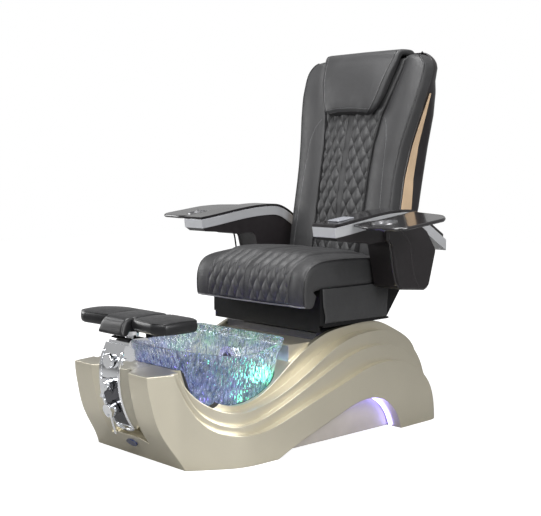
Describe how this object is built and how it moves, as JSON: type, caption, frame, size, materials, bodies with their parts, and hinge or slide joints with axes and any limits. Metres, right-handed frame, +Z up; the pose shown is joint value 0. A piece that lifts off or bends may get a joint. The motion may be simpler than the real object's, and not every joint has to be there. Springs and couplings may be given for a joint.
{
  "type": "pedicure spa chair",
  "caption": "Pedicure spa chair: a wave-sided base with a clear foot bowl and tap column, footrest, quilted reclining massage seat and arms with fold-up trays.",
  "frame": {"origin": "on the floor under the middle of the overall length and width", "axes": "+Z up, +Y from the footrest to the back, +X to the sitter's left"},
  "size_m": [1.315, 1.4311, 1.444],
  "materials": {
    "pearl_shell": "pearl champagne gel coat, glossy",
    "arch_panel": "gel coat, satin",
    "light_lens": "frosted lens over light strip",
    "clear_bowl": "clear, faintly textured, polished rim",
    "rubber": "matt",
    "frame_steel": "black powder coat",
    "slide_paint": "dark navy paint",
    "steel": "machined",
    "chrome": "polished plating",
    "column_insert": "dark, deep gloss",
    "medallion": "plain oval, gloss",
    "black_leather": "soft gloss upholstery leather",
    "charcoal_leather": "satin upholstery leather",
    "beige_leather": "satin upholstery leather",
    "black_plastic": "fine grain",
    "shell_plastic": "gloss",
    "silver_trim": "silver paint, satin",
    "tray_top": "dark, deep gloss",
    "keypad_film": "membrane film"
  },
  "bodies": {
    "base": {"base_shell": "pearl_shell", "floor_frame": "frame_steel", "levelling_feet": "rubber", "arch_panels": "arch_panel", "arch_lights": "light_lens", "foot_bowl": "clear_bowl", "bowl_gasket": "rubber", "jet_housing": "chrome", "drain_flange": "steel", "bowl_light": "light_lens", "drain_pump": "black_plastic", "water_lines": "rubber", "faucet_column": "chrome", "column_face": "column_insert", "valve_body": "steel", "front_medallion": "medallion", "slide_base": "slide_paint", "slide_rails": "steel", "slide_motor": "black_plastic"},
    "impeller": {"jet_impeller": "black_plastic"},
    "plug": {"drain_plug": "chrome"},
    "diverter": {"diverter_handle": "chrome"},
    "mixer": {"mixer_cap": "chrome"},
    "mixer_handle": {"mixer_lever": "chrome"},
    "spray": {"spray_head": "chrome"},
    "footrest_mast": {"footrest_post": "chrome"},
    "footrest": {"footrest_plate": "frame_steel", "footrest_centre": "black_leather", "footrest_side_pads": "black_leather"},
    "carriage": {"slide_rod": "steel", "carriage_plate": "frame_steel", "seat_frame": "frame_steel", "seat_cushion": "charcoal_leather", "seat_skirt": "charcoal_leather", "pivot_pins": "steel", "recline_motor": "black_plastic"},
    "recline_shaft": {"recline_rod": "steel"},
    "back": {"back_frame": "frame_steel", "back_shell": "black_leather", "side_panels": "beige_leather", "back_cushion": "charcoal_leather", "wing_left": "charcoal_leather", "wing_right": "charcoal_leather", "lumbar_pad": "charcoal_leather", "head_pillow": "charcoal_leather"},
    "massage": {"massage_carriage": "black_plastic"},
    "rollers": {"massage_rollers": "black_plastic"},
    "arm_left": {"arm_shell_left": "shell_plastic", "arm_band_left": "silver_trim", "arm_pad_left": "black_leather", "tray_hinge_left": "steel", "arm_keypad": "keypad_film"},
    "tray_left": {"tray_left": "tray_top", "cup_holder_left": "shell_plastic"},
    "arm_right": {"arm_shell_right": "shell_plastic", "arm_band_right": "silver_trim", "arm_pad_right": "black_leather", "tray_hinge_right": "steel"},
    "tray_right": {"tray_right": "tray_top", "cup_holder_right": "shell_plastic"}
  },
  "joints": [
    {"name": "seat_slide", "type": "slide", "parent": "base", "child": "carriage", "axis": [0, 1, 0], "range_m": [-0.09, 0.06]},
    {"name": "back_recline", "type": "hinge", "parent": "carriage", "child": "back", "pos_m": [0, 0.42, 0.562], "axis": [-1, 0, 0], "range_deg": [0, 35]},
    {"name": "recline_rod_slide", "type": "slide", "parent": "carriage", "child": "recline_shaft", "axis": [0, -1, 0], "range_m": [0, 0.04]},
    {"name": "massage_lift", "type": "slide", "parent": "back", "child": "massage", "axis": [0, 0.2215, 0.9751], "range_m": [-0.16, 0.35]},
    {"name": "roller_spin", "type": "hinge", "parent": "massage", "child": "rollers", "pos_m": [0, 0.53369, 0.92694], "axis": [1, 0, 0], "continuous": true},
    {"name": "footrest_lift", "type": "slide", "parent": "base", "child": "footrest_mast", "axis": [0, 0, 1], "range_m": [0, 0.06]},
    {"name": "footrest_turn", "type": "hinge", "parent": "footrest_mast", "child": "footrest", "pos_m": [0, -0.595, 0.436], "axis": [0, 0, 1], "range_deg": [-90, 90]},
    {"name": "diverter_turn", "type": "hinge", "parent": "base", "child": "diverter", "pos_m": [0, -0.68287, 0.268], "axis": [0, 1, 0], "range_deg": [0, 90]},
    {"name": "mixer_turn", "type": "hinge", "parent": "base", "child": "mixer", "pos_m": [0, -0.66529, 0.186], "axis": [0, -0.9563, -0.2924], "range_deg": [-50, 50]},
    {"name": "mixer_lift", "type": "hinge", "parent": "mixer", "child": "mixer_handle", "pos_m": [0, -0.68165, 0.16427], "axis": [-1, 0, 0], "range_deg": [0, 25]},
    {"name": "spray_pull", "type": "slide", "parent": "base", "child": "spray", "axis": [0, -1, 0], "range_m": [0, 0.12]},
    {"name": "drain_plug_lift", "type": "slide", "parent": "base", "child": "plug", "axis": [0, 0, 1], "range_m": [0, 0.01]},
    {"name": "jet_spin", "type": "hinge", "parent": "base", "child": "impeller", "pos_m": [0, -0.155, 0.285], "axis": [0, 1, 0], "continuous": true},
    {"name": "arm_left_lift", "type": "hinge", "parent": "carriage", "child": "arm_left", "pos_m": [0.3, 0.39, 0.606], "axis": [-1, 0, 0], "range_deg": [0, 60]},
    {"name": "tray_left_fold", "type": "hinge", "parent": "arm_left", "child": "tray_left", "pos_m": [0.445, 0.05722, 0.76863], "axis": [0, -0.9928, -0.1201], "range_deg": [0, 90]},
    {"name": "arm_right_lift", "type": "hinge", "parent": "carriage", "child": "arm_right", "pos_m": [-0.3, 0.39, 0.606], "axis": [-1, 0, 0], "range_deg": [0, 60]},
    {"name": "tray_right_fold", "type": "hinge", "parent": "arm_right", "child": "tray_right", "pos_m": [-0.445, 0.05722, 0.76863], "axis": [0, 0.9928, 0.1201], "range_deg": [0, 90]}
  ],
  "couplings": [
    {"joint": "recline_rod_slide", "follows": "back_recline", "m_per_rad": 0.06367}
  ]
}
